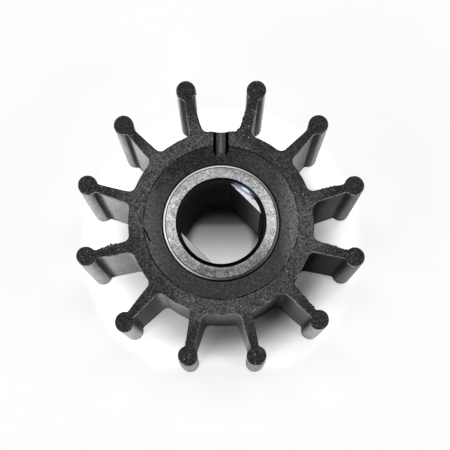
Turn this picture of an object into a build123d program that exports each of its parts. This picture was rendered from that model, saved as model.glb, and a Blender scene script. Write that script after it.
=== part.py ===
from build123d import *
from math import hypot, sqrt
import os

os.makedirs("parts", exist_ok=True)

# A flexible-vane pump impeller. The shaft axis is +Z and the origin lies on it, in the lower end face.
# The rubber hub and vanes are one moulding, bonded round a metal sleeve that takes the drive shaft.

# ---- Driving dimensions: millimetres and degrees ----

# Whole impeller
outer_diameter = 57.15         # over the tip beads, with the vanes relaxed
width = 31.75                  # rubber from end face to end face

# Vanes
vane_count = 12
first_vane_angle = 15.0        # from +X, so that a gap faces each of X and Y
bead_diameter = 3.84           # round bead along each tip
vane_root_thickness = 2.5      # where the flanks reach the hub
vane_neck_thickness = 1.65     # where the flanks reach the bead
root_fillet = 1.1              # flank into hub
neck_fillet = 0.6              # flank into bead

# Rubber hub
hub_diameter = 35.8
dish_diameter = 30.0           # inner edge of the flat rim on each end face
groove_diameter = 3.0          # half-round groove across the rim of the upper face
groove_angle = 90.0            # from +X, midway between two vanes
groove_inner_radius = 12.6     # rounded inner end of the groove, from the axis

# Metal drive sleeve
sleeve_diameter = 22.8
sleeve_setback = 0.8           # sleeve's end faces below the rubber's end faces
bevel_width = 0.45             # outer bevel of the sleeve, across its end face
bevel_height = 0.4             # the same bevel, along the axis
bonding_groove_count = 3
bonding_groove_pitch = 7.0
bonding_groove_width = 1.6     # square grooves that key the rubber to the sleeve
bonding_groove_depth = 0.5

# Double-D bore
bore_diameter = 15.9
across_flats = 13.5
flat_angle = 45.0              # direction that the flats face, from +X
lead_in = 0.8                  # 45 degree lead-in at each mouth; the flats stop at its foot

# ---- Sizes that follow ----
outer_radius = outer_diameter / 2
bead_radius = bead_diameter / 2
bead_centre = outer_radius - bead_radius
hub_radius = hub_diameter / 2
dish_radius = dish_diameter / 2
groove_radius = groove_diameter / 2
sleeve_radius = sleeve_diameter / 2
sleeve_length = width - 2 * sleeve_setback
dish_depth = sleeve_setback + bevel_height      # the dish runs down to the foot of the sleeve's bevel
bore_radius = bore_diameter / 2
middle = width / 2

# The flanks run straight between their foot on the hub and the neck of the bead.
foot_x = sqrt(hub_radius**2 - (vane_root_thickness / 2) ** 2)
neck_x = bead_centre - sqrt(bead_radius**2 - (vane_neck_thickness / 2) ** 2)
flank_slope = (vane_neck_thickness - vane_root_thickness) / 2 / (neck_x - foot_x)


def half_thickness(x):
    """Half the blade's thickness at the distance x from the axis."""
    return vane_root_thickness / 2 + flank_slope * (x - foot_x)


def vane_outline():
    """One vane along +X: a tapered blade, a round bead and the blend between them."""
    start_x = (sleeve_radius + hub_radius) / 2
    with BuildSketch() as outline:
        Polygon(
            (start_x, -half_thickness(start_x)),
            (bead_centre, -half_thickness(bead_centre)),
            (bead_centre, half_thickness(bead_centre)),
            (start_x, half_thickness(start_x)),
            align=None,
        )
        with Locations((bead_centre, 0)):
            Circle(bead_radius)
        necks = [v for v in outline.vertices() if abs(v.X - neck_x) < neck_fillet / 4]
        fillet(necks, neck_fillet)
    return outline.sketch


def moulding_outline():
    """The hub and its ring of vanes, with a fillet on both sides of every root."""
    with BuildSketch() as outline:
        Circle(hub_radius)
        with PolarLocations(0, vane_count):
            add(vane_outline())
        roots = [v for v in outline.vertices() if abs(hypot(v.X, v.Y) - hub_radius) < root_fillet / 20]
        fillet(roots, root_fillet)
    return Rot(0, 0, first_vane_angle) * outline.sketch


def end_dish():
    """The shallow cone that sinks from the flat rim to the sleeve, on the upper face."""
    dish = Cone(sleeve_radius, dish_radius, dish_depth, align=(Align.CENTER, Align.CENTER, Align.MAX))
    return Pos(0, 0, width) * dish


def rim_groove():
    """A half-round channel with a rounded inner end, its axis level with the upper face."""
    end_centre = groove_inner_radius + groove_radius
    run = outer_radius - end_centre
    channel = Rot(0, 90, 0) * Cylinder(groove_radius, run, align=(Align.CENTER, Align.CENTER, Align.MIN))
    cutter = Pos(end_centre, 0, width) * (channel + Sphere(groove_radius))
    return Rot(0, 0, groove_angle) * cutter


def sleeve_blank():
    """The turned sleeve before its bore is cut: outer bevels and three bonding grooves."""
    cylinder = Cylinder(sleeve_radius, sleeve_length)
    ends = cylinder.edges().filter_by(GeomType.CIRCLE)
    blank = chamfer(ends, bevel_height, bevel_width, reference=cylinder.faces().filter_by(GeomType.CYLINDER)[0])
    groove_floor = sleeve_radius - bonding_groove_depth
    groove = Cylinder(outer_radius, bonding_groove_width) - Cylinder(groove_floor, bonding_groove_width)
    first = -(bonding_groove_count - 1) / 2 * bonding_groove_pitch
    for index in range(bonding_groove_count):
        blank -= Pos(0, 0, first + index * bonding_groove_pitch) * groove
    return Pos(0, 0, middle) * blank


def double_d_bore():
    """The broached bore: a round hole with two flats, and a conical lead-in at each mouth."""
    section = Circle(bore_radius) & Rectangle(across_flats, bore_diameter)
    bore = extrude(section, amount=sleeve_length / 2, both=True)
    mouth = Cone(bore_radius, bore_radius + lead_in, lead_in, align=(Align.CENTER, Align.CENTER, Align.MAX))
    upper_mouth = Pos(0, 0, sleeve_length / 2) * mouth
    cutter = bore + upper_mouth + mirror(upper_mouth, about=Plane.XY)
    return Pos(0, 0, middle) * Rot(0, 0, flat_angle) * cutter


def drive_insert():
    return sleeve_blank() - double_d_bore()


def rubber_body():
    body = extrude(moulding_outline(), amount=width)
    upper_dish = end_dish()
    lower_dish = mirror(upper_dish, about=Plane.XY.offset(middle))
    return body - upper_dish - lower_dish - rim_groove() - sleeve_blank()


for name, solid in {"rubber_body": rubber_body(), "drive_insert": drive_insert()}.items():
    solid.label = name
    export_step(solid, f"parts/{name}.step")
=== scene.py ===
from math import acos, atan2, ceil, cos, degrees, hypot, pi, radians, sin, sqrt
import bmesh
import bpy
from mathutils import Matrix, Vector, geometry, noise


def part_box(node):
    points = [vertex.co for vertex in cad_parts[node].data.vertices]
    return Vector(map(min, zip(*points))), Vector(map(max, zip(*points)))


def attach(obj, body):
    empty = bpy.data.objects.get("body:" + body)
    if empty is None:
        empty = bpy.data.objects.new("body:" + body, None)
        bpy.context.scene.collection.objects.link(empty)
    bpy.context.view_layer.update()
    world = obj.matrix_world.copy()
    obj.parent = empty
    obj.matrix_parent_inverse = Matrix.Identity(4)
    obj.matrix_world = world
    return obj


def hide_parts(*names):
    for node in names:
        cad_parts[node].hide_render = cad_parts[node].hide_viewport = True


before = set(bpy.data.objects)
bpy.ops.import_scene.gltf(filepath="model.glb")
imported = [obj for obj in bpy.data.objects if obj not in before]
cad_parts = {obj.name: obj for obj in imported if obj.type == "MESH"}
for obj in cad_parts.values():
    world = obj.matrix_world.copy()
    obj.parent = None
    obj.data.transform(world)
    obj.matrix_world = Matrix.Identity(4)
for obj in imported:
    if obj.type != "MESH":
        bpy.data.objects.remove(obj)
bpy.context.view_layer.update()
scene = bpy.context.scene

# ----------------------------------------------------------------------
# Drive sleeve: a turned metal bush that takes the pump's shaft. Its end faces are dull and stained, with
# painted light and shade; the mouths and walls of its broached double-D bore are painted dark for shade, the
# mouths glossy, and the flats stop there as bright ledges.
mm = 0.001
sleeve_low, sleeve_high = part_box("drive_insert")
sleeve_radius, sleeve_bottom, sleeve_top = sleeve_high[0], sleeve_low[2], sleeve_high[2]
bore_radius = 7.95 * mm
flat_distance = 6.75 * mm
flat_direction = radians(45)
mouth_depth = 0.8 * mm
mouth_edge = 0.05 * mm
bevel_width, bevel_height = 0.45 * mm, 0.4 * mm
scored_radius, lip_end = 10.8 * mm, 11.22 * mm
key_width, key_depth, key_pitch = 1.6 * mm, 0.5 * mm, 7.0 * mm
around_sleeve = 360
same_place = 0.001 * mm
sharp_turn = radians(35)


def keyed_wall():
    """The sleeve's outside from the top down, with its three square grooves, as (radius, z) points."""
    middle = (sleeve_top + sleeve_bottom) / 2
    floor_radius = sleeve_radius - key_depth
    points = []
    for index in (1, 0, -1):
        upper = middle + index * key_pitch + key_width / 2
        lower = upper - key_width
        points += [(sleeve_radius, upper), (floor_radius, upper)]
        points += [(floor_radius, lower), (sleeve_radius, lower)]
    return points


def double_d_reach(angle):
    """How far the wall of the double-D bore is from the axis, in one direction."""
    facing = abs(cos(angle - flat_direction))
    return bore_radius if facing * bore_radius <= flat_distance else flat_distance / facing


def sleeve_section(angle):
    """The closed section of the sleeve at one angle: down the outside, then up the bore."""
    reach = double_d_reach(angle)
    ledge = sleeve_top - mouth_depth
    mouth = bore_radius + mouth_depth
    return [
        (scored_radius - 2 * mouth_edge, sleeve_top),
        (scored_radius - mouth_edge, sleeve_top),
        (scored_radius, sleeve_top - mouth_edge),
        (scored_radius + mouth_edge, sleeve_top - mouth_edge / 2),
        (lip_end - 2 * mouth_edge, sleeve_top - 1.5 * mouth_edge),
        (lip_end, sleeve_top - 2.5 * mouth_edge),
        (sleeve_radius - mouth_edge, sleeve_top - bevel_height),
        (sleeve_radius, sleeve_top - bevel_height - mouth_edge),
        *keyed_wall(),
        (sleeve_radius, sleeve_bottom + bevel_height),
        (sleeve_radius - bevel_width, sleeve_bottom),
        (mouth, sleeve_bottom),
        (bore_radius, sleeve_bottom + mouth_depth),
        (reach, sleeve_bottom + mouth_depth),
        (reach, ledge - mouth_edge),
        (min(reach + mouth_edge, bore_radius), ledge),
        (bore_radius, ledge),
        (mouth - mouth_edge / 2, sleeve_top - mouth_edge / 2),
        (mouth + mouth_edge / 2, sleeve_top),
        (mouth + 3 * mouth_edge, sleeve_top),
    ]


def skin(shell, rows, closed=False, flipped=False):
    """Joins each row of points to the next with faces. A closed row runs on to its first point, and
    flipped faces look the other way."""
    made = []
    for row, following in zip(rows, rows[1:]):
        for k in range(len(row) if closed else len(row) - 1):
            after = (k + 1) % len(row)
            corners = (row[k], row[after], following[after], following[k])
            made.append(shell.faces.new(corners[:1] + corners[:0:-1] if flipped else corners))
    return made


def piece_from(shell, name):
    """Makes a piece of a shell, and frees the shell."""
    mesh = bpy.data.meshes.new(name)
    shell.to_mesh(mesh)
    shell.free()
    piece = bpy.data.objects.new(name, mesh)
    scene.collection.objects.link(piece)
    return piece


def turned_shell(name, section_at, angles):
    """A closed ring made of one section at each angle."""
    shell = bmesh.new()
    rings = [[shell.verts.new((r * cos(a), r * sin(a), z)) for r, z in section_at(a)] for a in angles]
    skin(shell, rings + rings[:1], closed=True, flipped=True)
    bmesh.ops.remove_doubles(shell, verts=shell.verts, dist=same_place)
    bmesh.ops.recalc_face_normals(shell, faces=shell.faces)
    return piece_from(shell, name)


def smooth_shading(mesh):
    """Smooth shading, with the edges that turn sharply kept sharp."""
    shell = bmesh.new()
    shell.from_mesh(mesh)
    for face in shell.faces:
        face.smooth = True
    for edge in shell.edges:
        edge.smooth = len(edge.link_faces) == 2 and edge.calc_face_angle(0) < sharp_turn
    shell.to_mesh(mesh)
    shell.free()


flat_half_angle = acos(flat_distance / bore_radius)
sleeve_angles = [2 * pi * k / around_sleeve for k in range(around_sleeve)]
for facing in (flat_direction, flat_direction + pi):
    sleeve_angles += [(facing + side * flat_half_angle) % (2 * pi) for side in (-1, 1)]
sleeve = turned_shell("drive_sleeve", sleeve_section, sorted(sleeve_angles))
smooth_shading(sleeve.data)


def feed(tree, node, **inputs):
    """Fills inputs, named with _ for a space or i0, i1 for a place: sockets are linked, values are set."""
    for name, value in inputs.items():
        socket = node.inputs[int(name[1:]) if name[1:].isdigit() else name.replace("_", " ")]
        if isinstance(value, bpy.types.NodeSocket):
            tree.links.new(value, socket)
        else:
            socket.default_value = value


def place(tree, kind, settings=(), **inputs):
    """Adds a node with the given settings and inputs."""
    node = tree.nodes.new(kind)
    for name, value in dict(settings).items():
        setattr(node, name, value)
    feed(tree, node, **inputs)
    return node


def sums(tree, operation, *values):
    """The result of one Math node."""
    named = {f"i{k}": value for k, value in enumerate(values)}
    return place(tree, "ShaderNodeMath", {"operation": operation}, **named).outputs[0]


def times(tree, first, second):
    """The product of two values."""
    return sums(tree, "MULTIPLY", first, second)


def most(tree, first, *others):
    """The largest of several values."""
    for other in others:
        first = sums(tree, "MAXIMUM", first, other)
    return first


def vectors(tree, operation, *values):
    """The result of one Vector Math node: a number for a product, length or distance, else a vector."""
    named = {f"i{k}": value for k, value in enumerate(values)}
    made = place(tree, "ShaderNodeVectorMath", {"operation": operation}, **named).outputs
    return made["Value" if operation in ("DOT_PRODUCT", "LENGTH", "DISTANCE") else "Vector"]


def scaled(tree, vector, scale):
    """A vector times a number."""
    return place(tree, "ShaderNodeVectorMath", {"operation": "SCALE"}, Vector=vector, Scale=scale).outputs[0]


def cloudy(tree, spot, scale, detail):
    """A noise about 0.5."""
    return place(tree, "ShaderNodeTexNoise", Vector=spot, Scale=scale, Detail=detail).outputs[0]


def parts_of(tree, vector):
    """The three parts of a vector."""
    return place(tree, "ShaderNodeSeparateXYZ", Vector=vector).outputs


def ramp(tree, value, low, high, start=0.0, end=1.0):
    """A smooth step of a value between two limits, from start to end."""
    node = place(tree, "ShaderNodeMapRange", {"interpolation_type": "SMOOTHSTEP"}, Value=value)
    feed(tree, node, From_Min=low, From_Max=high, To_Min=start, To_Max=end)
    return node.outputs["Result"]


def blend(tree, amount, first, second):
    """A mix of two colours."""
    first, second = ((*c, 1) if isinstance(c, tuple) else c for c in (first, second))
    return place(tree, "ShaderNodeMix", {"data_type": "RGBA"}, i0=amount, i6=first, i7=second).outputs[2]


def effect(name, inputs, outputs):
    """A new shader node group, with its input and output nodes."""
    tree = bpy.data.node_groups.new(name, "ShaderNodeTree")
    for label, kind, value in inputs:
        socket = tree.interface.new_socket(label, in_out="INPUT", socket_type=kind)
        if value is not None:
            socket.default_value = value
    for label, kind in outputs:
        tree.interface.new_socket(label, in_out="OUTPUT", socket_type=kind)
    return tree, tree.nodes.new("NodeGroupInput").outputs, tree.nodes.new("NodeGroupOutput")


def use(tree, group, **inputs):
    """Places a node group in a material and returns its outputs."""
    return place(tree, "ShaderNodeGroup", {"node_tree": group}, **inputs).outputs


def finish_of(name):
    """A new material, its tree, its surface shader and its position in millimetres from the origin."""
    material = bpy.data.materials.new(name)
    material.use_nodes = True
    tree = material.node_tree
    spot = place(tree, "ShaderNodeTexCoord").outputs["Object"]
    return material, tree, tree.nodes["Principled BSDF"], scaled(tree, spot, 1 / mm)


VALUE, VECTOR = "NodeSocketFloat", "NodeSocketVector"

# Fine grain: two sizes of noise in one value about 0.5, for colour, roughness and bump alike.
grain, given, made = effect(
    "fine_grain", [("Spot", VECTOR, None), ("Coarse", VALUE, 1.0), ("Fine", VALUE, 4.0)], [("Grain", VALUE)]
)
coarse = cloudy(grain, given["Spot"], given["Coarse"], 3.0)
fine = cloudy(grain, given["Spot"], given["Fine"], 2.0)
both = sums(grain, "MULTIPLY_ADD", fine, 0.6, times(grain, coarse, 0.4))
grain.links.new(ramp(grain, both, 0.36, 0.64), made.inputs["Grain"])

# Specks: scattered dots, each in its own cell, of which only the given share shows.
specks, given, made = effect(
    "specks",
    [("Spot", VECTOR, None), ("Scale", VALUE, 2.0), ("Size", VALUE, 0.3), ("Share", VALUE, 0.1)],
    [("Dots", VALUE)],
)
cells = place(specks, "ShaderNodeTexVoronoi", Vector=given["Spot"], Scale=given["Scale"]).outputs
split = place(specks, "ShaderNodeSeparateColor", Color=cells["Color"]).outputs
size = times(specks, given["Size"], sums(specks, "MULTIPLY_ADD", split[1], 0.7, 0.3))
dot = ramp(specks, sums(specks, "DIVIDE", cells["Distance"], size), 1.0, 0.4)
kept = sums(specks, "LESS_THAN", split[0], given["Share"])
specks.links.new(times(specks, dot, kept), made.inputs["Dots"])

# Crumbs: two random values for every small cell, as of ground grains.
crumbs, given, made = effect(
    "crumbs", [("Spot", VECTOR, None), ("Scale", VALUE, 4.6)], [("First", VALUE), ("Second", VALUE)]
)
cells = place(crumbs, "ShaderNodeTexVoronoi", Vector=given["Spot"], Scale=given["Scale"]).outputs
split = place(crumbs, "ShaderNodeSeparateColor", Color=cells["Color"]).outputs
crumbs.links.new(split[0], made.inputs["First"])
crumbs.links.new(split[1], made.inputs["Second"])

# Turning marks: fine rings about the axis, uneven along their length.
turning, given, made = effect(
    "turning_marks", [("Spot", VECTOR, None), ("Pitch", VALUE, 0.15)], [("Rings", VALUE)]
)
split = parts_of(turning, given["Spot"])
flat_spot = place(turning, "ShaderNodeCombineXYZ", X=split[0], Y=split[1]).outputs[0]
radius = vectors(turning, "LENGTH", flat_spot)
angle = sums(turning, "ARCTAN2", split[1], split[0])
along = place(
    turning,
    "ShaderNodeCombineXYZ",
    X=sums(turning, "DIVIDE", radius, given["Pitch"]),
    Y=times(turning, sums(turning, "ABSOLUTE", angle), 1.5),
    Z=sums(turning, "SIGN", angle),
)
rings = cloudy(turning, along.outputs[0], 1.0, 3.0)
turning.links.new(ramp(turning, rings, 0.3, 0.7), made.inputs["Rings"])

# Scratches: thin straight streaks at one angle, broken up by a coarse noise.
scratches, given, made = effect(
    "scratches",
    [("Spot", VECTOR, None), ("Angle", VALUE, 0.0), ("Width", VALUE, 6.0), ("Share", VALUE, 0.1)],
    [("Lines", VALUE)],
)
turned = place(
    scratches,
    "ShaderNodeVectorRotate",
    {"rotation_type": "Z_AXIS"},
    Vector=given["Spot"],
    Angle=given["Angle"],
)
across = place(scratches, "ShaderNodeCombineXYZ", X=0.25, Y=given["Width"], Z=0.25)
drawn = vectors(scratches, "MULTIPLY", turned.outputs[0], across.outputs[0])
streaks = cloudy(scratches, drawn, 1.0, 1.0)
limit = sums(scratches, "SUBTRACT", 0.8, times(scratches, given["Share"], 0.5))
over = times(scratches, sums(scratches, "SUBTRACT", streaks, limit), 20.0)
line = sums(scratches, "MINIMUM", most(scratches, over, 0.0), 1.0)
scratches.links.new(line, made.inputs["Lines"])

# One cut: the mask of a straight mark between two places, with soft ends.
single_cut, given, made = effect(
    "single_cut",
    [("Spot", VECTOR, None), ("Start", VECTOR, None), ("End", VECTOR, None), ("Width", VALUE, 0.1)],
    [("Cut", VALUE)],
)
flat_spot = vectors(single_cut, "MULTIPLY", given["Spot"], (1.0, 1.0, 0.0))
from_start = vectors(single_cut, "SUBTRACT", flat_spot, given["Start"])
whole = vectors(single_cut, "SUBTRACT", given["End"], given["Start"])
along = vectors(single_cut, "DOT_PRODUCT", from_start, whole)
along = sums(single_cut, "DIVIDE", along, vectors(single_cut, "DOT_PRODUCT", whole, whole))
along = sums(single_cut, "MINIMUM", most(single_cut, along, 0.0), 1.0)
apart = vectors(single_cut, "DISTANCE", from_start, scaled(single_cut, whole, along))
apart = sums(single_cut, "DIVIDE", apart, given["Width"])
single_cut.links.new(ramp(single_cut, apart, 1.0, 0.35), made.inputs["Cut"])


def cuts(tree, spot, places, width):
    """The mask of several single cuts, each from one place to the next, in mm."""
    mask = 0.0
    for start, end in places:
        cut = use(tree, single_cut, Spot=spot, Start=(*start, 0.0), End=(*end, 0.0), Width=width)["Cut"]
        mask = most(tree, mask, cut)
    return mask


def raised(tree, height, strength, distance):
    """The normal of a surface with a relief of the given depth."""
    return place(tree, "ShaderNodeBump", Height=height, Strength=strength, Distance=distance).outputs[0]


def toward(tree, spot, direction, low, high):
    """How far a spot lies to one side of the axis, as a smooth step between two distances."""
    side = (cos(radians(direction)), sin(radians(direction)), 0.0)
    reach = vectors(tree, "DOT_PRODUCT", spot, side)
    return ramp(tree, reach, low, high)


def from_axis(tree, spot, low, high):
    """A smooth step of the distance from the axis, between two radii."""
    flat = vectors(tree, "MULTIPLY", spot, (1.0, 1.0, 0.0))
    radius = vectors(tree, "LENGTH", flat)
    return ramp(tree, radius, low, high)


def turned_finish(tree, surface, strength):
    """Stretches a surface's reflections across the rings that turning leaves round the axis."""
    tangent = place(tree, "ShaderNodeTangent", {"direction_type": "RADIAL", "axis": "Z"}).outputs[0]
    feed(tree, surface, Anisotropic=strength, Anisotropic_Rotation=0.25, Tangent=tangent)


def dull_end_face():
    """Turned end face with wear: mottled grey, scuffed, stained brown on one side, lip polish, painted light
    and shade.
    """
    material, tree, surface, spot = finish_of("dull_end_face")
    mottle = use(tree, grain, Spot=spot, Coarse=1.0, Fine=4.2)["Grain"]
    rings = use(tree, turning, Spot=spot, Pitch=0.16)["Rings"]
    # Painted highlights to the left and right, where the turned face would catch the light.
    painted_highlight = most(tree, toward(tree, spot, 5, 5.5, 10.8), toward(tree, spot, 178, 7.5, 10.8))
    painted_sheen = blend(tree, mottle, (0.15, 0.15, 0.15), (0.5, 0.49, 0.47))
    colour = blend(tree, mottle, (0.09, 0.09, 0.099), (0.28, 0.28, 0.29))
    colour = blend(tree, painted_highlight, colour, painted_sheen)
    colour = blend(tree, times(tree, rings, 0.3), colour, (0.17, 0.17, 0.18))
    bright = use(tree, specks, Spot=spot, Scale=2.6, Size=0.4, Share=0.35)["Dots"]
    colour = blend(tree, times(tree, bright, 0.45), colour, (0.6, 0.59, 0.56))
    # Painted light: the face is lighter toward +Y.
    lighter = times(tree, toward(tree, spot, 92, 6.0, 9.5), 0.4)
    colour = blend(tree, lighter, colour, (0.32, 0.32, 0.33))
    # Painted shade in two directions.
    painted_shade = most(tree, toward(tree, spot, 58, 8.2, 9.8), toward(tree, spot, 325, 7.5, 9.8))
    colour = blend(tree, times(tree, painted_shade, 0.35), colour, (0.07, 0.07, 0.073))
    crumb = use(tree, crumbs, Spot=spot, Scale=4.6)
    colour = blend(tree, ramp(tree, crumb[0], 0.6, 1.0, 0.0, 0.5), colour, (0.05, 0.049, 0.048))
    colour = blend(tree, ramp(tree, crumb[1], 0.7, 1.0, 0.0, 0.4), colour, (0.6, 0.59, 0.57))
    stain = times(tree, toward(tree, spot, 275, 2.5, 9.0), from_axis(tree, spot, 8.2, 9.6))
    patchy = use(tree, grain, Spot=spot, Coarse=0.6, Fine=2.0)["Grain"]
    patchy = ramp(tree, patchy, 0.3, 0.8, 0.25, 1.0)
    colour = blend(tree, times(tree, patchy, stain), colour, (0.075, 0.068, 0.055))
    flecks = use(tree, specks, Spot=spot, Scale=3.2, Size=0.42, Share=0.5)["Dots"]
    flecks = times(tree, flecks, toward(tree, spot, 300, 0.0, 8.0))
    colour = blend(tree, times(tree, flecks, 0.6), colour, (0.05, 0.042, 0.03))
    clear = sums(tree, "MULTIPLY_ADD", stain, -0.3, 0.4)
    for angle, share in ((0.25, 0.36), (-1.1, 0.32), (1.35, 0.3)):
        line = use(tree, scratches, Spot=spot, Angle=angle, Width=8.0, Share=share)["Lines"]
        colour = blend(tree, times(tree, line, clear), colour, (0.5, 0.5, 0.5))
    scored = [((-2.55, 10.2), (-3.0, 9.0)), ((6.3, 8.1), (7.0, 7.2)), ((4.4, 8.4), (5.4, 8.7))]
    scored = times(tree, cuts(tree, spot, scored, 0.08), 0.7)
    colour = blend(tree, scored, colour, (0.65, 0.65, 0.65))
    brass = cuts(tree, spot, [((-4.05, -10.35), (-3.9, -10.15)), ((3.9, -10.0), (4.2, -10.0))], 0.2)
    colour = blend(tree, brass, colour, (0.75, 0.42, 0.14))
    nick = cuts(tree, spot, [((-7.85, 4.5), (-7.65, 4.3)), ((10.2, 3.2), (10.4, 2.9))], 0.16)
    colour = blend(tree, nick, colour, (0.01, 0.01, 0.011))
    line_end = scored_radius / mm
    in_line = from_axis(tree, spot, line_end - 0.14, line_end - 0.06)
    colour = blend(tree, in_line, colour, (0.02, 0.02, 0.02))
    on_lip = from_axis(tree, spot, line_end + 0.05, line_end + 0.11)
    # The lip's polish is painted lighter toward the upper left and darker toward the lower right.
    polish_and_painted_light = blend(tree, toward(tree, spot, 155, -8.0, 4.0), (0.09, 0.083, 0.074), (0.5, 0.5, 0.51))
    colour = blend(tree, on_lip, colour, polish_and_painted_light)
    dark_edge = from_axis(tree, spot, lip_end / mm - 0.06, lip_end / mm)
    colour = blend(tree, dark_edge, colour, (0.02, 0.02, 0.021))
    rough = sums(tree, "MULTIPLY_ADD", on_lip, -0.15, ramp(tree, mottle, 0.0, 1.0, 0.6, 0.48))
    relief = raised(tree, sums(tree, "ADD", mottle, times(tree, rings, 0.5)), 0.35, 0.01 * mm)
    feed(tree, surface, Base_Color=colour, Metallic=1.0, Roughness=rough, Normal=relief)
    turned_finish(tree, surface, 0.6)
    return material


def dark_mouth():
    """Lead-in: a smooth cone painted dark for shade, with a few dull rings and a painted bluish reflection by
    one flat.
    """
    material, tree, surface, spot = finish_of("dark_mouth")
    rings = use(tree, turning, Spot=spot, Pitch=0.1)["Rings"]
    colour = blend(tree, rings, (0.006, 0.006, 0.007), (0.02, 0.02, 0.023))
    # Painted shade: darkest toward -Y.
    colour = blend(tree, toward(tree, spot, 270, 2.0, 7.0), colour, (0.001, 0.001, 0.001))
    # A painted bluish reflection beside one flat.
    painted_reflection = times(tree, toward(tree, spot, 56, 7.7, 8.1), from_axis(tree, spot, 8.4, 8.15))
    colour = blend(tree, painted_reflection, colour, blend(tree, rings, (0.16, 0.18, 0.22), (0.28, 0.3, 0.34)))
    feed(tree, surface, Base_Color=colour, Metallic=1.0, Roughness=ramp(tree, rings, 0.0, 1.0, 0.1, 0.2))
    return material


def dark_bore():
    """Bore wall: broached metal marked along the axis, painted near-black for shade, painted reflection on
    each flat's end.
    """
    material, tree, surface, spot = finish_of("dark_bore")
    stretched = vectors(tree, "MULTIPLY", spot, (3.0, 3.0, 0.08))
    marks = cloudy(tree, stretched, 1.0, 3.0)
    on_flat = place(tree, "ShaderNodeTexCoord").outputs["Normal"]
    side = (cos(flat_direction), sin(flat_direction), 0.0)
    on_flat = vectors(tree, "DOT_PRODUCT", on_flat, side)
    on_flat = ramp(tree, sums(tree, "ABSOLUTE", on_flat), 0.985, 0.995)
    # Painted near-black for the shade in the bore.
    colour = blend(tree, marks, (0.002, 0.002, 0.002), (0.006, 0.0055, 0.005))
    # A painted reflection at one end of each flat.
    painted_reflection = times(tree, on_flat, toward(tree, spot, -45, -3.0, 5.0))
    colour = blend(tree, painted_reflection, colour, blend(tree, marks, (0.05, 0.048, 0.047), (0.12, 0.117, 0.113)))
    rough = sums(tree, "MULTIPLY_ADD", marks, 0.1, sums(tree, "MULTIPLY_ADD", painted_reflection, -0.4, 0.8))
    relief = raised(tree, marks, 0.1, 0.01 * mm)
    feed(tree, surface, Base_Color=colour, IOR=1.3, Roughness=rough, Normal=relief)
    return material


def bright_ledge():
    """Ends of the flats: clean cut metal, finely scored, with a painted blue reflection along one rim."""
    material, tree, surface, spot = finish_of("bright_ledge")
    scored = use(tree, scratches, Spot=spot, Angle=-0.785, Width=5.0, Share=0.5)["Lines"]
    upper = toward(tree, spot, 45, -1.0, 1.0)
    clean = blend(tree, upper, (0.2, 0.196, 0.204), (0.36, 0.352, 0.36))
    colour = blend(tree, times(tree, scored, 0.6), clean, (0.2, 0.2, 0.21))
    # A painted blue reflection along one rim.
    painted_blue_reflection = times(tree, from_axis(tree, spot, 7.35, 7.6), toward(tree, spot, 75, 5.6, 7.2))
    colour = blend(tree, times(tree, painted_blue_reflection, upper), colour, (0.13, 0.15, 0.19))
    mark = cuts(tree, spot, [((5.95, 4.85), (6.1, 4.7)), ((6.4, 4.75), (6.45, 4.6))], 0.14)
    colour = blend(tree, mark, colour, (0.03, 0.035, 0.05))
    feed(tree, surface, Base_Color=colour, Metallic=1.0, Roughness=0.5)
    return material


for finish in (dull_end_face(), dark_mouth(), dark_bore(), bright_ledge()):
    sleeve.data.materials.append(finish)
# Inside the bore the lead-ins take the second finish, the walls the third and the ledges the fourth.
wall_reach = bore_radius - 0.01 * mm
sloping, level = 0.2, 0.4
for face in sleeve.data.polygons:
    radius = face.center.xy.length
    lean = abs(face.normal.z)
    if radius < bore_radius + mouth_depth:
        in_mouth = radius > wall_reach and lean > sloping
        face.material_index = 1 if in_mouth else 3 if lean > level else 2
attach(sleeve, "root")
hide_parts("drive_insert")

# ----------------------------------------------------------------------
# Rubber moulding: hub and vanes in one piece of black rubber, bonded round the sleeve. One vane with its
# share of the hub is drawn, and is repeated round the axis. The end faces are trimmed, the dish moulded.
_, rubber_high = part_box("rubber_body")
width = rubber_high[2]
vane_count = 12
first_vane = radians(15)
tip_radius = 28.575 * mm
bead_radius = 1.92 * mm
bead_centre = tip_radius - bead_radius
root_half, neck_half = 1.25 * mm, 0.825 * mm
root_fillet, neck_fillet = 1.3 * mm, 0.6 * mm
hub_radius = 17.9 * mm
dish_radius = 15.0 * mm
dish_depth = 1.2 * mm
seam_half, seam_depth = 0.12 * mm, 0.1 * mm
corner, corner_steps = 0.16 * mm, 4
lip_radius, crevice_depth = 11.5 * mm, 0.3 * mm
lip_steps = 10
near_cut_rows = (0.2 * mm, 0.45 * mm, 0.9 * mm)
side_top, side_foot, side_rows = width - 1.6 * mm, 1.0 * mm, 14
outline_step, grid = 0.2 * mm, 0.36 * mm


def arc(centre, radius, start, end):
    """Points along an arc, without its last one."""
    steps = ceil(abs(end - start) * radius / outline_step)
    turns = [start + (end - start) * k / steps for k in range(steps)]
    return [Vector((centre[0] + radius * cos(t), centre[1] + radius * sin(t))) for t in turns]


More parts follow.
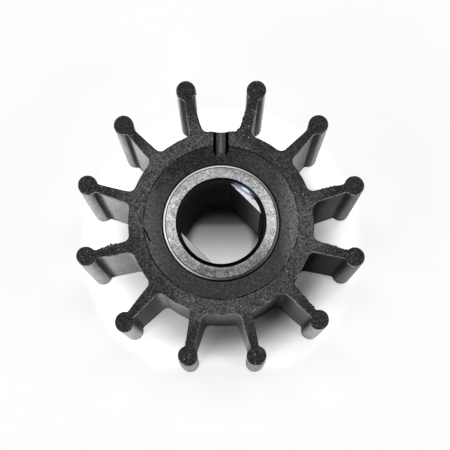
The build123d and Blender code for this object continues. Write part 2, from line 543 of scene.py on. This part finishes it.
def half_vane():
    """Half of one vane's outline, from the middle of the gap beside it to the crown of its bead."""
    foot = Vector((sqrt(hub_radius**2 - root_half**2), root_half))
    neck = Vector((bead_centre - sqrt(bead_radius**2 - neck_half**2), neck_half))
    along = (neck - foot).normalized()
    outward = Vector((-along.y, along.x))
    start = foot + root_fillet * outward
    slide = -start.dot(along)
    slide += sqrt(start.dot(along) ** 2 - start.length_squared + (hub_radius + root_fillet) ** 2)
    root_centre = start + slide * along
    bead = Vector((bead_centre, 0))
    to_bead = bead - foot - neck_fillet * outward
    slide = to_bead.dot(along)
    slide -= sqrt(slide**2 - to_bead.length_squared + (bead_radius + neck_fillet) ** 2)
    neck_centre = foot + neck_fillet * outward + slide * along
    hub_end = atan2(root_centre.y, root_centre.x)
    flank = atan2(-outward.y, -outward.x)
    bead_start = atan2((neck_centre - bead).y, (neck_centre - bead).x)
    points = arc((0, 0), hub_radius, pi / vane_count, hub_end)
    points += arc(root_centre, root_fillet, hub_end - pi, flank)
    begin, end = root_centre - root_fillet * outward, neck_centre - neck_fillet * outward
    steps = ceil((end - begin).length / outline_step)
    points += [begin.lerp(end, k / steps) for k in range(steps)]
    points += arc(neck_centre, neck_fillet, flank, bead_start - pi)
    points += arc(bead, bead_radius, bead_start, 0)
    return points + [Vector((tip_radius, 0))]


def inside_border(point, border):
    """Whether a point lies inside a closed polygon."""
    inside = False
    for a, b in zip(border, border[1:] + border[:1]):
        if (a.y > point.y) != (b.y > point.y) and point.x < (b.x - a.x) * (point.y - a.y) / (b.y - a.y) + a.x:
            inside = not inside
    return inside


def across_slice(steps):
    """Directions across one vane's slice of the hub, in twice that many steps."""
    return [pi / vane_count * (k / steps - 1) for k in range(2 * steps + 1)]


def end_face_plan(edge):
    """The end face's points and triangles, from its outer edge to the lip round the sleeve."""
    half = pi / vane_count
    rim_rows, dish_rows, seam_steps = 8, 10, 13
    outer_cut = hub_radius - corner
    seam = [dish_radius + seam_half, dish_radius, dish_radius - seam_half]
    reaches = [outer_cut - (outer_cut - seam[0]) * k / rim_rows for k in range(1, rim_rows)] + seam
    reaches += [dish_radius - (dish_radius - lip_radius) * k / dish_rows for k in range(1, dish_rows)]
    right = [Vector((r * cos(half), -r * sin(half))) for r in reaches]
    inner = [Vector((lip_radius * cos(t), lip_radius * sin(t))) for t in across_slice(lip_steps)]
    left = [Vector((p.x, -p.y)) for p in reversed(right)]
    border = edge + right + inner + left
    edges = [(k, (k + 1) % len(border)) for k in range(len(border))]
    points = list(border)
    for order, r in enumerate(seam, rim_rows - 1):
        line = [Vector((r * cos(t), r * sin(t))) for t in across_slice(seam_steps)[1:-1]]
        chain = [len(edge) + order, *range(len(points), len(points) + len(line)), len(border) - 1 - order]
        points += line
        edges += list(zip(chain, chain[1:]))
    clear_of_seam, clear_of_border = seam_half + grid / 2, grid * 0.6
    row, x = 0, lip_radius * cos(half)
    while x < tip_radius:
        y = -hub_radius * sin(half) + (row % 2) * grid / 2
        while y < hub_radius * sin(half):
            here = Vector((x, y))
            if abs(here.length - dish_radius) > clear_of_seam and inside_border(here, border):
                if min((here - p).length for p in border) > clear_of_border:
                    points.append(here)
            y += grid
        x += grid * sqrt(3) / 2
        row += 1
    flat, _, triangles, *_ = geometry.delaunay_2d_cdt(points, edges, [], 1, same_place / 2)
    lip = range(len(edge) + len(right), len(edge) + len(right) + len(inner))
    return flat, triangles, lip


def vane_sector():
    """One vane and its slice of the hub, as a mesh that is open only at the two cuts through the hub."""
    upper = half_vane()
    outline = upper + [Vector((p.x, -p.y)) for p in reversed(upper[:-1])]
    count = len(outline)
    outward = []
    for k, point in enumerate(outline):
        tangent = outline[k - 1] - outline[(k + 1) % count]
        normal = Vector((tangent.y, -tangent.x))
        outward.append((point if k in (0, count - 1) else normal).normalized())
    quarter = [k * pi / 2 / corner_steps for k in range(1, corner_steps + 1)]
    rounding = [(corner * (1 - sin(t)), corner * (1 - cos(t))) for t in quarter]
    flat, triangles, lip = end_face_plan([p - corner * n for p, n in zip(outline, outward)])

    # The zone of a face is the place of its finish: 0 sides, 1 trimmed ends, 2 dishes and hidden seat.
    shell = bmesh.new()
    zone = shell.faces.layers.int.new("finish_zone")
    caps = []
    for end, turn in ((width, 1), (0.0, -1)):
        cap = []
        for p in flat:
            sunk = max(0, dish_radius - p.length) / (dish_radius - sleeve_radius) * dish_depth
            if turn == 1 and abs(p.length - dish_radius) < seam_half / 2:
                sunk += seam_depth
            cap.append(shell.verts.new((p.x, p.y, end - turn * sunk)))
        for triangle in triangles:
            middle = sum((flat[k] for k in triangle), Vector((0, 0))) / 3
            face = shell.faces.new([cap[k] for k in triangle][::turn])
            face[zone] = 1 if middle.length > dish_radius else 2
        caps.append(cap)
    top_cap, bottom_cap = caps

    levels = [(inset, width - drop) for inset, drop in rounding]
    levels += [(0, width - corner - drop) for drop in near_cut_rows]
    levels += [(0, side_top - (side_top - side_foot) * k / side_rows) for k in range(side_rows + 1)]
    levels += [(inset, drop) for inset, drop in reversed(rounding)]
    rows = [top_cap[:count]]
    for inset, z in levels:
        edge = [(p.x - inset * n.x, p.y - inset * n.y, z) for p, n in zip(outline, outward)]
        rows.append([shell.verts.new(point) for point in edge])
    rows.append(bottom_cap[:count])
    skin(shell, rows)

    turns = across_slice(lip_steps)
    lip_drop = dish_depth + crevice_depth
    seat = [(sleeve_radius, width - lip_drop), *keyed_wall(), (sleeve_radius, lip_drop)]
    rows = [[top_cap[k] for k in lip]]
    rows += [[shell.verts.new((r * cos(t), r * sin(t), z)) for t in turns] for r, z in seat]
    rows.append([bottom_cap[k] for k in lip])
    for face in skin(shell, rows):
        face[zone] = 2
    mesh = bpy.data.meshes.new("vane_sector")
    shell.to_mesh(mesh)
    shell.free()
    return mesh


def trimmed_rubber():
    """Trimmed end faces: matt and grainy, dusty round the hub, with pale filler specks in the cut."""
    material, tree, surface, spot = finish_of("trimmed_rubber")
    texture = use(tree, grain, Spot=spot, Coarse=3.0, Fine=8.0)["Grain"]
    salt = use(tree, crumbs, Spot=spot, Scale=4.6)[0]
    salt = sums(tree, "POWER", salt, 1.6)
    clouds = cloudy(tree, spot, 0.35, 2.0)
    handled = most(tree, toward(tree, spot, 45, 12.0, 15.5), toward(tree, spot, 212, 13.5, 16.3))
    handled = most(tree, handled, times(tree, toward(tree, spot, 315, 13.5, 16.3), 0.35))
    clouds = sums(tree, "MULTIPLY_ADD", handled, -0.65, ramp(tree, clouds, 0.3, 0.7, 0.75, 1.0))
    clouds = sums(tree, "MULTIPLY_ADD", toward(tree, spot, 356, 14.5, 17.0), 0.35, clouds)
    dusty = times(tree, from_axis(tree, spot, 23.0, 17.5), clouds)
    dark = blend(tree, dusty, (0.008, 0.008, 0.01), (0.025, 0.025, 0.028))
    pale = blend(tree, dusty, (0.06, 0.059, 0.065), (0.165, 0.162, 0.17))
    colour = blend(tree, salt, dark, pale)
    colour = blend(tree, times(tree, texture, 0.3), colour, dark)
    dust = use(tree, specks, Spot=spot, Scale=3.3, Size=0.5, Share=0.3)["Dots"]
    dusted = times(tree, dust, sums(tree, "MULTIPLY_ADD", dusty, 0.4, 0.15))
    colour = blend(tree, dusted, colour, (0.2, 0.197, 0.2))
    nicks = cuts(tree, spot, [((-10.9, 10.9), (-10.7, 10.75)), ((6.6, -16.4), (6.9, -16.2))], 0.16)
    colour = blend(tree, nicks, colour, (0.001, 0.001, 0.001))
    torn = place(tree, "ShaderNodeAttribute", {"attribute_name": "torn_edge"}).outputs["Fac"]
    fine_dots = use(tree, specks, Spot=spot, Scale=3.0, Size=0.4, Share=0.07)["Dots"]
    colour = blend(tree, times(tree, fine_dots, 0.7), colour, (0.5, 0.48, 0.46))
    share = sums(tree, "MULTIPLY_ADD", torn, 0.5, 0.045)
    dots = use(tree, specks, Spot=spot, Scale=2.4, Size=0.36, Share=share)["Dots"]
    colour = blend(tree, dots, colour, (0.55, 0.53, 0.5))
    rough = ramp(tree, texture, 0.0, 1.0, 0.62, 0.85)
    relief = sums(tree, "MULTIPLY_ADD", dots, 0.8, sums(tree, "MULTIPLY_ADD", dust, 0.5, texture))
    relief = raised(tree, relief, 0.8, 0.05 * mm)
    feed(tree, surface, Base_Color=colour, Metallic=nicks, IOR=1.22, Roughness=rough, Normal=relief)
    return material


def moulded_dish():
    """Moulded dish: smoother than the trimmed face, with the turning marks of the mould in it."""
    material, tree, surface, spot = finish_of("moulded_dish")
    texture = use(tree, grain, Spot=spot, Coarse=2.0, Fine=3.6)["Grain"]
    rings = use(tree, turning, Spot=spot, Pitch=0.22)["Rings"]
    colour = blend(tree, texture, (0.003, 0.003, 0.0035), (0.016, 0.016, 0.0175))
    colour = blend(tree, times(tree, rings, 0.4), colour, (0.03, 0.03, 0.033))
    # Painted highlights to the left and right of the dish, where its turning marks would catch the light.
    painted_highlight = times(tree, toward(tree, spot, 188, 10.5, 14.5), 0.5)
    painted_highlight = most(tree, toward(tree, spot, 2, 10.5, 14.5), painted_highlight)
    colour = blend(tree, times(tree, painted_highlight, texture), colour, (0.19, 0.187, 0.19))
    crumb = use(tree, crumbs, Spot=spot, Scale=4.4)[0]
    colour = blend(tree, ramp(tree, crumb, 0.5, 1.0, 0.0, 0.6), colour, (0.07, 0.07, 0.076))
    slit = [(-14.86, -1.2), (-14.42, -2.05), (-13.95, -3.0), (-13.65, -3.6)]
    slit = cuts(tree, spot, zip(slit, slit[1:]), 0.24)
    gap = cloudy(tree, spot, 0.8, 2.0)
    whole = most(tree, ramp(tree, gap, 0.38, 0.55), toward(tree, spot, 214, 12.5, 14.0))
    seam_line = times(tree, from_axis(tree, spot, 14.72, 14.92), whole)
    slit = most(tree, slit, seam_line)
    colour = blend(tree, slit, colour, (0.001, 0.001, 0.001))
    # Metallic darkens the slit, and as painted shade the side toward the groove.
    shaded = most(tree, slit, times(tree, toward(tree, spot, 115, 8.0, 13.5), 0.65))
    rough = ramp(tree, texture, 0.0, 1.0, 0.34, 0.44)
    relief = raised(tree, sums(tree, "MULTIPLY_ADD", rings, 0.9, texture), 0.6, 0.03 * mm)
    feed(tree, surface, Base_Color=colour, Metallic=shaded, IOR=1.3, Roughness=rough, Normal=relief)
    turned_finish(tree, surface, 0.8)
    return material


def blade_side(tree, spot, vane, facing):
    """The mask of one side of one vane, given the directions in which the vane and that side point."""
    side = times(tree, toward(tree, spot, facing, 0.3, 0.6), toward(tree, spot, facing, 3.0, 2.2))
    blade = times(tree, toward(tree, spot, vane, 17.5, 19.0), from_axis(tree, spot, 25.4, 24.6))
    return times(tree, side, blade)


def moulded_flank():
    """Moulded sides of hub and vanes: smooth and slightly glossy, with faint marks along the axis."""
    material, tree, surface, spot = finish_of("moulded_flank")
    drawn = vectors(tree, "MULTIPLY", spot, (1.0, 1.0, 0.15))
    streaks = use(tree, grain, Spot=drawn, Coarse=0.8, Fine=3.0)["Grain"]
    texture = use(tree, grain, Spot=spot, Coarse=0.7, Fine=3.5)["Grain"]
    colour = blend(tree, texture, (0.01, 0.01, 0.011), (0.02, 0.02, 0.0215))
    colour = blend(tree, times(tree, streaks, 0.35), colour, (0.045, 0.045, 0.047))
    torn = place(tree, "ShaderNodeAttribute", {"attribute_name": "torn_edge"}).outputs["Fac"]
    across, along, height = parts_of(tree, spot)
    top = width / mm
    near_cut = ramp(tree, height, top - 1.6, top - 0.1)
    share = sums(tree, "MULTIPLY_ADD", near_cut, 0.3, sums(tree, "MULTIPLY_ADD", torn, 0.4, 0.03))
    dots = use(tree, specks, Spot=spot, Scale=2.0, Size=0.34, Share=share)["Dots"]
    colour = blend(tree, times(tree, dots, 0.7), colour, (0.36, 0.35, 0.33))
    facing = parts_of(tree, place(tree, "ShaderNodeTexCoord").outputs["Normal"])[1]
    # A painted highlight along the cut edge of the sides that face -Y, where a rounded edge would catch the
    # light.
    painted_highlight = times(tree, ramp(tree, height, top - 0.22, top - 0.08), ramp(tree, facing, 0.0, -0.35))
    colour = blend(tree, times(tree, painted_highlight, texture), colour, (0.42, 0.41, 0.4))

    # The rim groove has a painted highlight on its floor and painted shade on its sides, and one side of two
    # vanes is painted paler for the light that falls on it.
    in_groove = times(tree, ramp(tree, height, top - 1.7, top - 1.4), ramp(tree, along, 12.5, 13.0))
    in_groove = times(tree, in_groove, from_axis(tree, spot, 17.95, 17.8))
    groove_side = ramp(tree, sums(tree, "ABSOLUTE", across), 0.75, 1.1)
    groove_side = times(tree, in_groove, groove_side)
    painted_sheen = times(tree, in_groove, ramp(tree, cloudy(tree, drawn, 2.2, 2.0), 0.35, 0.65))
    colour = blend(tree, painted_sheen, colour, (0.08, 0.08, 0.082))
    for vane, side, share in ((285, 195, 0.9), (315, 225, 0.7)):
        paler = times(tree, blade_side(tree, spot, vane, side), share)
        colour = blend(tree, paler, colour, (0.25, 0.25, 0.255))
    colour = blend(tree, groove_side, colour, (0.002, 0.002, 0.002))

    # Metallic darkens what lies in deep shade, as black metal scatters nothing and reflects little.
    at_root = times(tree, toward(tree, spot, 335, 8.0, 17.0), from_axis(tree, spot, 22.5, 18.2))
    at_foot = times(tree, toward(tree, spot, 315, -2.0, 10.0), ramp(tree, height, 3.0, 0.2, 0.0, 0.8))
    on_hub = times(tree, toward(tree, spot, 270, 15.5, 17.3), from_axis(tree, spot, 19.6, 18.4))
    half_shaded = times(tree, most(tree, on_hub, blade_side(tree, spot, 345, 255)), 0.5)
    shaded = most(tree, at_root, at_foot, groove_side, half_shaded)

    # Parts of some vanes are more matt than the rest, and so is the neck beside every bead.
    outer_end = from_axis(tree, spot, 26.3, 25.2)
    matt = times(tree, toward(tree, spot, 355, 11.0, 20.0), outer_end)
    matt = most(tree, matt, times(tree, toward(tree, spot, 0, 17.0, 25.0), 0.5))
    matt = most(tree, matt, times(tree, toward(tree, spot, 270, 20.0, 25.5), 0.3))
    for direction, low, share in ((246, 16.0, 0.9), (90, 16.5, 0.8)):
        side = times(tree, toward(tree, spot, direction, low, 21.0), outer_end)
        matt = most(tree, matt, times(tree, side, share))
    for vane, side, level in ((285, 195, 0.0), (345, 255, 1.0)):
        change = sums(tree, "SUBTRACT", level, matt)
        matt = sums(tree, "MULTIPLY_ADD", blade_side(tree, spot, vane, side), change, matt)
    in_neck = times(tree, from_axis(tree, spot, 23.3, 24.7), from_axis(tree, spot, 25.5, 24.9))
    rough = sums(tree, "MULTIPLY_ADD", texture, 0.03, ramp(tree, streaks, 0.0, 1.0, 0.27, 0.35))
    matt = most(tree, times(tree, matt, 0.75), in_neck)
    rough = sums(tree, "MULTIPLY_ADD", matt, 0.55, rough)
    relief = raised(tree, sums(tree, "MULTIPLY_ADD", streaks, 0.5, texture), 0.05, 0.02 * mm)
    feed(tree, surface, Base_Color=colour, Metallic=shaded, IOR=1.6, Roughness=rough, Normal=relief)
    feed(tree, surface, Specular_Tint=(0.3, 0.3, 0.3, 1.0))
    return material


rubber_finishes = (moulded_flank(), trimmed_rubber(), moulded_dish())

ring_tree = bpy.data.node_groups.new("vane_ring", "GeometryNodeTree")
socket_ids = {}
ring_inputs = {"Sector": "Geometry", "Vane Count": "Int", "First Angle": "Float", "Weld Distance": "Float"}
for label, kind in ring_inputs.items():
    socket = ring_tree.interface.new_socket(label, in_out="INPUT", socket_type="NodeSocket" + kind)
    socket_ids[label] = socket.identifier
ring_tree.interface.new_socket("Moulding", in_out="OUTPUT", socket_type="NodeSocketGeometry")
given = ring_tree.nodes.new("NodeGroupInput").outputs
pitch = sums(ring_tree, "DIVIDE", 2 * pi, given["Vane Count"])
index = place(ring_tree, "GeometryNodeInputIndex").outputs[0]
turn = sums(ring_tree, "MULTIPLY_ADD", index, pitch, given["First Angle"])
turn = place(ring_tree, "ShaderNodeCombineXYZ", Z=turn).outputs[0]
turn = place(ring_tree, "FunctionNodeEulerToRotation", i0=turn).outputs[0]
spots = place(ring_tree, "GeometryNodePoints", Count=given["Vane Count"]).outputs[0]
sector, weld = given["Sector"], given["Weld Distance"]
vanes = place(ring_tree, "GeometryNodeInstanceOnPoints", Points=spots, Instance=sector, Rotation=turn)
vanes = place(ring_tree, "GeometryNodeRealizeInstances", i0=vanes.outputs[0]).outputs[0]
vanes = place(ring_tree, "GeometryNodeMergeByDistance", Geometry=vanes, Distance=weld).outputs[0]
whole_number = {"data_type": "INT"}
zone = place(ring_tree, "GeometryNodeInputNamedAttribute", whole_number, Name="finish_zone").outputs[0]
equal = whole_number | {"operation": "EQUAL"}
for value, finish in enumerate(rubber_finishes):
    same = place(ring_tree, "FunctionNodeCompare", equal, i2=zone, i3=value).outputs[0]
    vanes = place(ring_tree, "GeometryNodeSetMaterial", Geometry=vanes, Selection=same, Material=finish)
    vanes = vanes.outputs[0]
made = ring_tree.nodes.new("NodeGroupOutput")
ring_tree.links.new(vanes, made.inputs["Moulding"])

moulding = bpy.data.objects.new("rubber_moulding", vane_sector())
scene.collection.objects.link(moulding)
moulding.data.materials.append(rubber_finishes[0])
ring = moulding.modifiers.new("ring", "NODES")
ring.node_group = ring_tree
ring[socket_ids["Vane Count"]] = vane_count
ring[socket_ids["First Angle"]] = first_vane
ring[socket_ids["Weld Distance"]] = 2 * same_place


def settled(piece):
    """Swaps a piece's mesh for what its modifiers make of it, and takes the modifiers off."""
    graph = bpy.context.evaluated_depsgraph_get()
    mesh = bpy.data.meshes.new_from_object(piece.evaluated_get(graph), depsgraph=graph)
    piece.modifiers.clear()
    piece.data = mesh
    return mesh


def eased(value):
    """A smooth step from 0 to 1."""
    value = min(max(value, 0.0), 1.0)
    return value * value * (3 - 2 * value)


# The upper ends of the vanes have taken a set: each leans a little, sideways and in or out, in mm.
leans = {
    15: (0.04, 0.0), 45: (0.03, 0.2), 75: (-0.04, 0.2), 105: (-0.13, 0.15),
    135: (-0.12, 0.18), 165: (-0.33, 0.06), 195: (-0.34, 0.0), 225: (0.57, -0.05),
    255: (0.47, -0.18), 285: (-0.27, -0.14), 315: (-0.25, -0.15), 345: (-0.11, -0.14),
}
# Places on the upper edges where the trimming knife left the rubber torn: x, y, reach and size in mm.
torn_places = [
    (-22.2, -5.2, 0.9, 0.3), (-21.2, -4.8, 0.7, 0.45), (-20.3, -4.5, 0.6, 0.3), (20.8, -4.6, 0.8, 0.3),
    (22.3, -5.2, 0.9, 0.35), (23.7, -5.8, 0.8, 0.3), (20.0, 6.5, 0.7, 0.2), (21.6, 6.9, 0.8, 0.35),
    (15.0, -13.2, 0.8, 0.25), (16.5, -14.7, 0.9, 0.3), (17.8, -16.1, 0.8, 0.3), (5.1, 22.0, 0.9, 0.25),
    (4.5, 20.2, 0.9, 0.25), (3.7, 18.4, 0.9, 0.2), (-4.95, 25.4, 0.5, 0.4), (-4.4, 17.3, 0.7, 0.25),
    (-26.8, 5.3, 0.9, 0.15), (6.7, -16.7, 0.4, -0.5), (3.0, 17.8, 0.8, 0.2), (-18.2, 12.6, 0.7, 0.15),
    (19.4, -19.5, 0.9, 0.15), (-7.0, -23.5, 1.0, 0.12), (7.4, -22.2, 0.8, 0.15), (-13.0, -15.2, 0.8, 0.12),
]

torn_depth = 0.75 * mm
jag_size, nick_size, ripple_size = 0.32 * mm, 0.85 * mm, 0.5 * mm
jag_height, nick_height, ripple_height = 0.035, 0.03, 0.02
nick_shift = Vector((7, 3, 1))
rim_start = dish_radius * 1.02
one_vane = 2 * pi / vane_count

mesh = settled(moulding)
torn_edge = mesh.attributes.new("torn_edge", "FLOAT", "POINT")
for vertex, normal in zip(mesh.vertices, [Vector(n.vector) for n in mesh.vertex_normals]):
    at = vertex.co.copy()
    radius = hypot(at.x, at.y)
    if radius > rim_start:
        near_top = 1.0 - eased((width - at.z) / torn_depth)
        if near_top > 0:
            spread, pull = 0.0, 0.0
            for x, y, reach, size in torn_places:
                close = 1 - hypot(at.x / mm - x, at.y / mm - y) / (reach * 1.4)
                if close > 0:
                    spread = max(spread, eased(close))
                    pull += size * eased(close * 1.5)
            torn_edge.data[vertex.index].value = spread * near_top
            jag = noise.noise(at / jag_size)
            nick = noise.noise(at / nick_size + nick_shift)
            push = jag_height * jag + nick_height * nick + pull * (0.25 + 1.5 * max(0.0, jag))
            push *= mm
            if normal.xy.length > 0.3:
                vertex.co.xy += normal.xy.normalized() * push * near_top
                vertex.co.z += 0.3 * abs(pull) * max(0.0, nick) * mm * near_top
            vertex.co.z += ripple_height * mm * noise.noise(at / ripple_size) * near_top
        vane_angle = first_vane + round((atan2(at.y, at.x) - first_vane) / one_vane) * one_vane
        sideways, outwards = leans[round(degrees(vane_angle)) % 360]
        reach = max(0.0, radius - hub_radius) / (bead_centre - hub_radius)
        bend = reach**1.4 * (at.z / width) ** 2 * mm
        along = Vector((cos(vane_angle), sin(vane_angle)))
        aside = Vector((-along.y, along.x))
        vertex.co.xy += bend * (sideways * aside + outwards * along)
smooth_shading(mesh)

# The groove across the rim is a half-round channel with a ball end, moulded in at +Y.
groove_radius, groove_end = 1.5 * mm, 14.1 * mm
ball_steps, around_groove = 24, 48
profile = []
for k in range(ball_steps + 1):
    t = k * pi / 2 / ball_steps
    profile.append((groove_end - groove_radius * cos(t), groove_radius * sin(t)))
profile.append((hub_radius + 2 * mm, groove_radius))
cutter_shell = bmesh.new()
rings = []
for x, r in profile[1:]:
    turns = [2 * pi * k / around_groove for k in range(around_groove)]
    rings.append([cutter_shell.verts.new((r * cos(t), x, width + r * sin(t))) for t in turns])
skin(cutter_shell, rings, closed=True)
pole = cutter_shell.verts.new((0, profile[0][0], width))
for k in range(around_groove):
    cutter_shell.faces.new((pole, rings[0][(k + 1) % around_groove], rings[0][k]))
cutter_shell.faces.new(rings[-1][::-1])
bmesh.ops.recalc_face_normals(cutter_shell, faces=cutter_shell.faces)
cutter = piece_from(cutter_shell, "groove_cutter")
cutter.data.materials.append(rubber_finishes[0])
cut = moulding.modifiers.new("groove", "BOOLEAN")
cut.operation, cut.solver, cut.object, cut.material_mode = "DIFFERENCE", "EXACT", cutter, "TRANSFER"
mesh = settled(moulding)
bpy.data.objects.remove(cutter)
smooth_shading(mesh)
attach(moulding, "root")
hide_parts("rubber_body")

# ----------------------------------------------------------------------
# The studio: a white sheet that sweeps up all round, one long lamp almost overhead with weaker ones at
# the sides and behind, and the camera looking almost straight down.
middle_reach, flat_reach, flat_rows = 0.02, 0.9, 4
sweep, sweep_turn, sweep_rows = 0.35, 0.4 * pi, 8
wall, wall_lean = 0.4, 0.12
around_sheet = 64
section = [(middle_reach, 0)] + [(flat_reach * k / flat_rows, 0) for k in range(1, flat_rows + 1)]
for k in range(1, sweep_rows + 1):
    t = sweep_turn * k / sweep_rows
    section.append((flat_reach + sweep * sin(t), sweep * (1 - cos(t))))
section.append((section[-1][0] + wall_lean, section[-1][1] + wall))
turns = [2 * pi * k / around_sheet for k in range(around_sheet)]
sheet_shell = bmesh.new()
rings = [[sheet_shell.verts.new((r * cos(t), r * sin(t), z)) for t in turns] for r, z in section]
sheet_shell.faces.new(rings[0])
skin(sheet_shell, rings, closed=True, flipped=True)
for face in sheet_shell.faces:
    face.smooth = True
sheet = piece_from(sheet_shell, "white_sheet")
# The camera and the reflections see the sheet otherwise than the light does: painted light makes it glow a
# little round the object, a little more toward the upper left, and in the bore, most on its -Y side, where
# its floor is also painted darker; a painted shadow lies beside the hub toward one gap, and far out its level
# is even.
white, tree, surface, spot = finish_of("white_sheet")
path = place(tree, "ShaderNodeLightPath").outputs
camera_ray = path["Is Camera Ray"]
seen = most(tree, camera_ray, most(tree, path["Is Glossy Ray"], path["Is Transmission Ray"]))
in_bore = from_axis(tree, spot, 8.2, 8.0)
far_out = most(tree, from_axis(tree, spot, 25.5, 31.5), toward(tree, spot, 90, 25.5, 31.0))
far_out = times(tree, most(tree, far_out, toward(tree, spot, 270, 23.5, 28.0)), camera_ray)
far_out = most(tree, far_out, from_axis(tree, spot, 34.0, 44.0))
as_seen = blend(tree, in_bore, (1.2, 1.2, 1.21), (0.5, 0.5, 0.505))
# A painted shadow beside the hub, toward one gap.
shade = times(tree, toward(tree, spot, 300, 14.0, 18.5), from_axis(tree, spot, 25.0, 20.0))
as_seen = blend(tree, times(tree, shade, 0.55), as_seen, (0.0, 0.0, 0.0))
as_seen = blend(tree, far_out, as_seen, (0.25, 0.25, 0.252))
colour = blend(tree, seen, (0.85, 0.85, 0.86), as_seen)
bright_side = times(tree, toward(tree, spot, 145, -20.0, 12.0), from_axis(tree, spot, 9.0, 20.0))
outside = times(tree, from_axis(tree, spot, 18.5, 27.0), 0.5)
lift = sums(tree, "MULTIPLY_ADD", bright_side, 0.35, outside)
glow = times(tree, toward(tree, spot, 270, -4.8, -3.4), 0.09)
glow = sums(tree, "MULTIPLY_ADD", toward(tree, spot, 270, -8.0, 8.0), 0.43, glow)
by_wall = most(tree, from_axis(tree, spot, 8.0, 5.8), toward(tree, spot, 270, -3.0, 3.0))
lift = sums(tree, "MULTIPLY_ADD", in_bore, times(tree, glow, by_wall), lift)
near = times(tree, lift, sums(tree, "SUBTRACT", 1.0, far_out))
beyond = sums(tree, "MULTIPLY_ADD", from_axis(tree, spot, 48.0, 30.0), 0.03, 0.735)
lift = times(tree, sums(tree, "MULTIPLY_ADD", far_out, beyond, near), seen)
feed(tree, surface, Base_Color=colour, Roughness=0.6, IOR=1.0)
feed(tree, surface, Emission_Color=(1.0, 1.0, 1.0, 1.0), Emission_Strength=lift)
sheet.data.materials.append(white)

aim = Vector((0, 0, 0.02))


def soft_lamp(name, direction, tilt, distance, size, level, colour=(1, 1, 1)):
    """A lamp facing the object, tilted from overhead, that lights the sheet to a level on its own."""
    lamp = bpy.data.lights.new(name, "AREA")
    lamp.shape = "RECTANGLE"
    lamp.size, lamp.size_y = size
    lamp.energy = level * pi**2 * distance**2 / cos(radians(tilt))
    lamp.color = colour
    holder = bpy.data.objects.new(name, lamp)
    holder.visible_camera = False
    scene.collection.objects.link(holder)
    turn, rise = radians(direction), radians(90 - tilt)
    towards = Vector((cos(rise) * cos(turn), cos(rise) * sin(turn), sin(rise)))
    holder.location = aim + distance * towards
    holder.rotation_euler = towards.to_track_quat("Z", "Y").to_euler()


soft_lamp("strip", 90, 13.5, 0.7, (0.55, 0.118), 0.62)
soft_lamp("behind", 88, 34, 0.7, (0.4, 0.16), 0.06)
soft_lamp("right", 5, 38, 0.7, (0.16, 0.2), 0.06)
soft_lamp("right_low", 335, 55, 0.7, (0.2, 0.2), 0.1)
soft_lamp("left", 180, 38, 0.7, (0.16, 0.2), 0.08)
soft_lamp("lower_left", 222, 55, 0.7, (0.3, 0.3), 0.15)
soft_lamp("cool_panel", 228, 80, 0.6, (0.14, 0.08), 0.014, (0.75, 0.87, 1.0))

world = bpy.data.worlds.new("studio")
scene.world = world
world.use_nodes = True
world.node_tree.nodes["Background"].inputs["Color"].default_value = (0.04, 0.04, 0.043, 1)

camera_data = bpy.data.cameras.new("camera")
camera_data.sensor_width = 36
camera_data.lens = 98.05
camera = bpy.data.objects.new("camera", camera_data)
scene.collection.objects.link(camera)
eye = Vector((0.733, -35.946, 264.4)) * mm
swing, tilt, roll = radians(0.808), radians(8.627), radians(-1.042)
camera.matrix_world = (
    Matrix.Rotation(swing, 4, "Z")
    @ Matrix.Translation(eye)
    @ Matrix.Rotation(tilt, 4, "X")
    @ Matrix.Rotation(roll, 4, "Z")
)
scene.camera = camera
scene.view_settings.view_transform = "Standard"
